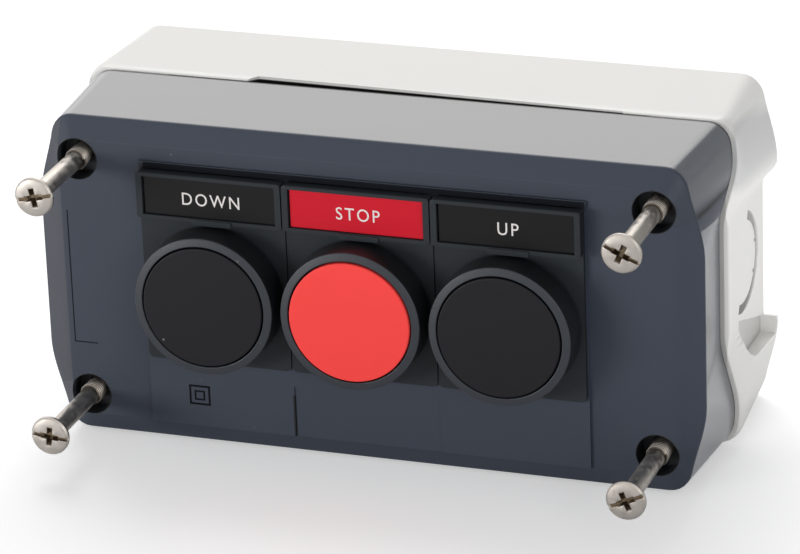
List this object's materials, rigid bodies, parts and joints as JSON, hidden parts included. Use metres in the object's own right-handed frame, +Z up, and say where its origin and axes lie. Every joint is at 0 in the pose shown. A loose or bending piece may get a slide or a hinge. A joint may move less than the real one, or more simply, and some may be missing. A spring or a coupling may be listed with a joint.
{
  "type": "pushbutton control station",
  "caption": "Wall-mounted pushbutton control station: light grey rear box, dark front cover with scooped ends, flush buttons under legend plates, and captive cover screws drawn out.",
  "frame": {"origin": "centre of the rear mounting face, which lies against the wall", "axes": "+X along the length, to the right as seen from the front; +Y into the wall; +Z up the front"},
  "size_m": [0.136, 0.0745, 0.068],
  "materials": {
    "box_grey": "fine-grained moulded plastic, light grey",
    "cover_grey": "fine-grained moulded plastic, dark blue grey",
    "holder_plastic": "fine matt moulded plastic, black grey",
    "bezel_plastic": "satin moulded plastic, dark grey",
    "legend_black": "satin engraved laminate, black",
    "legend_red": "satin engraved laminate, red",
    "cap_black": "fine matt moulded plastic, black",
    "cap_red": "fine matt moulded plastic, bright red",
    "seal_rubber": "black nitrile rubber",
    "collar_plastic": "glass-filled moulded plastic, grey",
    "block_plastic": "moulded plastic, pale grey",
    "plunger_nylon": "natural nylon",
    "contact_brass": "plain brass",
    "zinc_steel": "zinc plated steel",
    "spring_steel": "bright spring wire",
    "nickel_steel": "nickel plated steel"
  },
  "bodies": {
    "base": {"rear_box": "box_grey", "screw_inserts": "contact_brass", "box_gasket": "seal_rubber"},
    "cover": {"front_cover": "cover_grey", "legend_holder_left": "holder_plastic", "legend_holder_centre": "holder_plastic", "legend_holder_right": "holder_plastic", "legend_plate_left": "legend_black", "legend_plate_centre": "legend_red", "legend_plate_right": "legend_black", "button_head_left": "bezel_plastic", "button_head_centre": "bezel_plastic", "button_head_right": "bezel_plastic", "head_seal_left": "seal_rubber", "head_seal_centre": "seal_rubber", "head_seal_right": "seal_rubber", "fixing_collar_left": "collar_plastic", "fixing_collar_centre": "collar_plastic", "fixing_collar_right": "collar_plastic", "clamp_screws": "zinc_steel", "contact_block_left": "block_plastic", "contact_block_centre": "block_plastic", "contact_block_right": "block_plastic", "block_cover_left": "block_plastic", "block_cover_centre": "block_plastic", "block_cover_right": "block_plastic", "contact_strips_left": "contact_brass", "contact_strips_centre": "contact_brass", "contact_strips_right": "contact_brass", "terminal_screws_left": "zinc_steel", "terminal_screws_centre": "zinc_steel", "terminal_screws_right": "zinc_steel", "return_spring_left": "spring_steel", "return_spring_centre": "spring_steel", "return_spring_right": "spring_steel", "contact_spring_left": "spring_steel", "contact_spring_centre": "spring_steel", "contact_spring_right": "spring_steel"},
    "button_left": {"button_cap_left": "cap_black", "contact_plunger_left": "plunger_nylon", "contact_bridge_left": "contact_brass"},
    "button_centre": {"button_cap_centre": "cap_red", "contact_plunger_centre": "plunger_nylon", "contact_bridge_centre": "contact_brass"},
    "button_right": {"button_cap_right": "cap_black", "contact_plunger_right": "plunger_nylon", "contact_bridge_right": "contact_brass"},
    "screw_upper_left": {"cover_screw_upper_left": "nickel_steel"},
    "screw_upper_right": {"cover_screw_upper_right": "nickel_steel"},
    "screw_lower_left": {"cover_screw_lower_left": "nickel_steel"},
    "screw_lower_right": {"cover_screw_lower_right": "nickel_steel"}
  },
  "joints": [
    {"name": "cover_lift", "type": "slide", "parent": "base", "child": "cover", "axis": [0, -1, 0], "range_m": [0, 0.06]},
    {"name": "press_left", "type": "slide", "parent": "cover", "child": "button_left", "axis": [0, 1, 0], "range_m": [0, 0.004], "stiffness_N_per_m": 900, "springref_m": -0.004, "deforming": ["return_spring_left", "contact_spring_left"]},
    {"name": "press_centre", "type": "slide", "parent": "cover", "child": "button_centre", "axis": [0, 1, 0], "range_m": [0, 0.004], "stiffness_N_per_m": 900, "springref_m": -0.004, "deforming": ["return_spring_centre", "contact_spring_centre"]},
    {"name": "press_right", "type": "slide", "parent": "cover", "child": "button_right", "axis": [0, 1, 0], "range_m": [0, 0.004], "stiffness_N_per_m": 900, "springref_m": -0.004, "deforming": ["return_spring_right", "contact_spring_right"]},
    {"name": "drive_upper_left", "type": "slide", "parent": "cover", "child": "screw_upper_left", "axis": [0, 1, 0], "range_m": [0, 0.0235]},
    {"name": "drive_upper_right", "type": "slide", "parent": "cover", "child": "screw_upper_right", "axis": [0, 1, 0], "range_m": [0, 0.0235]},
    {"name": "drive_lower_left", "type": "slide", "parent": "cover", "child": "screw_lower_left", "axis": [0, 1, 0], "range_m": [0, 0.0235]},
    {"name": "drive_lower_right", "type": "slide", "parent": "cover", "child": "screw_lower_right", "axis": [0, 1, 0], "range_m": [0, 0.0235]}
  ]
}
